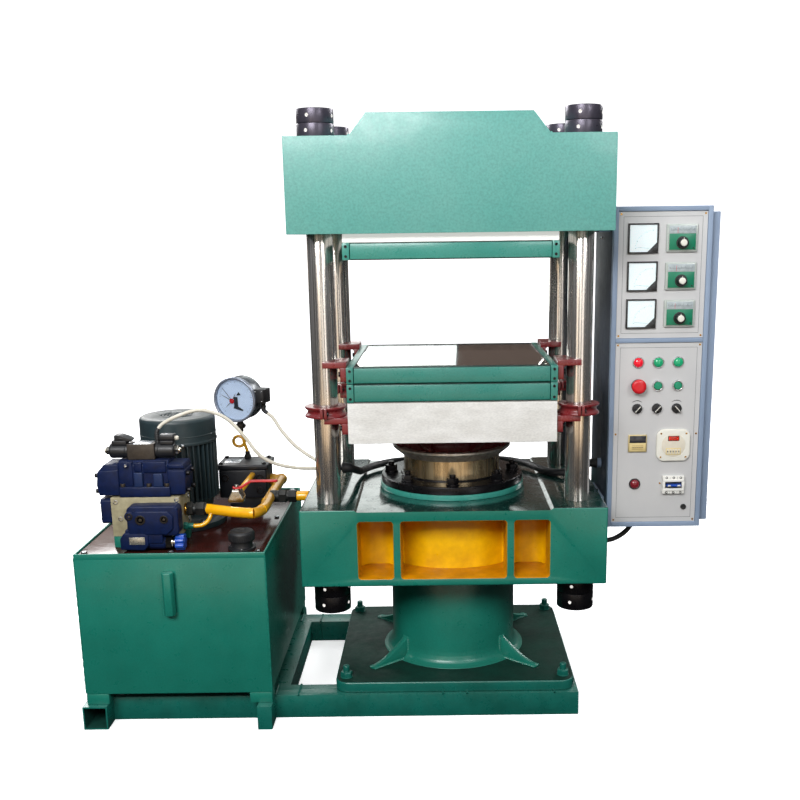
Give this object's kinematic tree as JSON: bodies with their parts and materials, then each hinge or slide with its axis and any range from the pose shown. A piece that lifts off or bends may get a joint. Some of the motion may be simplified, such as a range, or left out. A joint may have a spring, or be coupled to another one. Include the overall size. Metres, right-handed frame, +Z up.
{
  "type": "four-column rubber vulcanizing press",
  "caption": "Upstroke four-column hot plate press for rubber, with an oil tank and valves on its left and a hinged control cabinet on its right.",
  "frame": {"origin": "on the floor, under the axis of the ram", "axes": "+X to the operator's right, towards the control cabinet, +Y away from the operator, +Z up along the ram"},
  "size_m": [1.707, 0.724, 1.5796],
  "materials": {
    "enamel": "green hammer enamel",
    "light_enamel": "lighter green hammer enamel",
    "chrome": "hard chrome, polished",
    "black_oxide": "blackened steel",
    "yellow_enamel": "yellow enamel",
    "ground_steel": "ground and polished steel",
    "red_enamel": "dark red enamel",
    "insulation_board": "pressed white insulation board",
    "white_enamel": "white painted steel",
    "cast_grey": "grey painted casting",
    "navy_enamel": "navy enamel on castings",
    "motor_enamel": "dark teal enamel",
    "cover_red": "red brown primer, dusty",
    "black_plastic": "matte black plastic",
    "blue_plastic": "bright blue plastic",
    "red_plastic": "signal red plastic",
    "green_plastic": "green plastic",
    "ivory_plastic": "ivory plastic",
    "cabinet_enamel": "blue grey powder coat",
    "conduit_plastic": "cream ribbed conduit",
    "cable_rubber": "black rubber sheath"
  },
  "bodies": {
    "press_frame": {"base_skid": "enamel", "pedestal": "enamel", "lower_beam": "enamel", "cylinder_barrel": "enamel", "upper_guard": "enamel", "oil_tank": "enamel", "gauge_siphon": "yellow_enamel", "pressure_pipe": "yellow_enamel", "feed_line": "yellow_enamel", "gland_ring": "black_oxide", "column_front_left": "chrome", "column_rear_left": "chrome", "column_front_right": "chrome", "column_rear_right": "chrome", "upper_beam": "light_enamel", "upper_insulation": "insulation_board", "upper_platen": "ground_steel", "tank_cover": "cover_red", "filler_breather": "black_plastic", "solenoid_valve": "black_plastic", "pressure_gauge": "black_plastic", "motor": "motor_enamel", "manifold_block": "cast_grey", "hand_valve": "cast_grey", "pilot_valve": "navy_enamel", "relief_valve": "navy_enamel", "gauge_block": "navy_enamel", "cabinet_body": "cabinet_enamel", "valve_conduit": "conduit_plastic", "gauge_conduit": "conduit_plastic", "platen_harness": "cable_rubber", "mains_cable": "cable_rubber"},
    "table_unit": {"ram": "chrome", "table_seat": "red_enamel", "moving_table": "white_enamel", "lower_platen": "ground_steel", "lower_guard": "enamel", "table_guide_front_left": "red_enamel", "table_guide_rear_left": "red_enamel", "table_guide_front_right": "red_enamel", "table_guide_rear_right": "red_enamel"},
    "middle_daylight_unit": {"middle_platen": "ground_steel", "middle_guard": "enamel", "middle_guide_front_left": "red_enamel", "middle_guide_rear_left": "red_enamel", "middle_guide_front_right": "red_enamel", "middle_guide_rear_right": "red_enamel"},
    "relief_knob": {"relief_knob": "blue_plastic"},
    "hand_valve_lever": {"hand_valve_lever": "red_plastic"},
    "cabinet_door": {"cabinet_door": "cabinet_enamel"},
    "emergency_stop": {"emergency_stop": "red_plastic"},
    "button_up": {"button_up": "green_plastic"},
    "button_down": {"button_down": "green_plastic"},
    "selector_left": {"selector_left": "black_plastic"},
    "selector_middle": {"selector_middle": "black_plastic"},
    "selector_right": {"selector_right": "black_plastic"},
    "temperature_knob_upper": {"temperature_knob_upper": "ivory_plastic"},
    "temperature_knob_middle": {"temperature_knob_middle": "ivory_plastic"},
    "temperature_knob_lower": {"temperature_knob_lower": "ivory_plastic"},
    "breaker_toggle": {"breaker_toggle": "blue_plastic"}
  },
  "joints": [
    {"name": "ram_slide", "type": "slide", "parent": "press_frame", "child": "table_unit", "axis": [0, 0, 1], "range_m": [0, 0.265]},
    {"name": "middle_slide", "type": "slide", "parent": "press_frame", "child": "middle_daylight_unit", "axis": [0, 0, 1], "range_m": [0, 0.265]},
    {"name": "relief_turn", "type": "hinge", "parent": "press_frame", "child": "relief_knob", "pos_m": [-0.708, -0.2973, 0.5033], "axis": [1, 0, 0], "range_deg": [-180, 180]},
    {"name": "lever_turn", "type": "hinge", "parent": "press_frame", "child": "hand_valve_lever", "pos_m": [-0.581, -0.19, 0.617], "axis": [0, 0, 1], "range_deg": [-90, 0]},
    {"name": "door_hinge", "type": "hinge", "parent": "press_frame", "child": "cabinet_door", "pos_m": [0.431, -0.0783, 0.906], "axis": [0, 0, 1], "range_deg": [-85, 0]},
    {"name": "stop_press", "type": "slide", "parent": "cabinet_door", "child": "emergency_stop", "axis": [0, 1, 0], "range_m": [0, 0.004]},
    {"name": "button_up_press", "type": "slide", "parent": "cabinet_door", "child": "button_up", "axis": [0, 1, 0], "range_m": [0, 0.004], "stiffness_N_per_m": 300, "springref_m": -0.002},
    {"name": "button_down_press", "type": "slide", "parent": "cabinet_door", "child": "button_down", "axis": [0, 1, 0], "range_m": [0, 0.004], "stiffness_N_per_m": 300, "springref_m": -0.002},
    {"name": "selector_left_turn", "type": "hinge", "parent": "cabinet_door", "child": "selector_left", "pos_m": [0.507, -0.0959, 0.8055], "axis": [0, 1, 0], "range_deg": [-45, 45]},
    {"name": "selector_middle_turn", "type": "hinge", "parent": "cabinet_door", "child": "selector_middle", "pos_m": [0.561, -0.0959, 0.8055], "axis": [0, 1, 0], "range_deg": [-45, 45]},
    {"name": "selector_right_turn", "type": "hinge", "parent": "cabinet_door", "child": "selector_right", "pos_m": [0.615, -0.0959, 0.8055], "axis": [0, 1, 0], "range_deg": [-45, 45]},
    {"name": "temperature_upper_turn", "type": "hinge", "parent": "cabinet_door", "child": "temperature_knob_upper", "pos_m": [0.611, -0.1069, 1.2475], "axis": [0, 1, 0], "range_deg": [-135, 135]},
    {"name": "temperature_middle_turn", "type": "hinge", "parent": "cabinet_door", "child": "temperature_knob_middle", "pos_m": [0.611, -0.1069, 1.149], "axis": [0, 1, 0], "range_deg": [-135, 135]},
    {"name": "temperature_lower_turn", "type": "hinge", "parent": "cabinet_door", "child": "temperature_knob_lower", "pos_m": [0.611, -0.1069, 1.0505], "axis": [0, 1, 0], "range_deg": [-135, 135]},
    {"name": "breaker_throw", "type": "hinge", "parent": "cabinet_door", "child": "breaker_toggle", "pos_m": [0.613, -0.1047, 0.591], "axis": [1, 0, 0], "range_deg": [-25, 25]}
  ],
  "couplings": [
    {"joint": "middle_slide", "follows": "ram_slide", "ratio": 1}
  ]
}
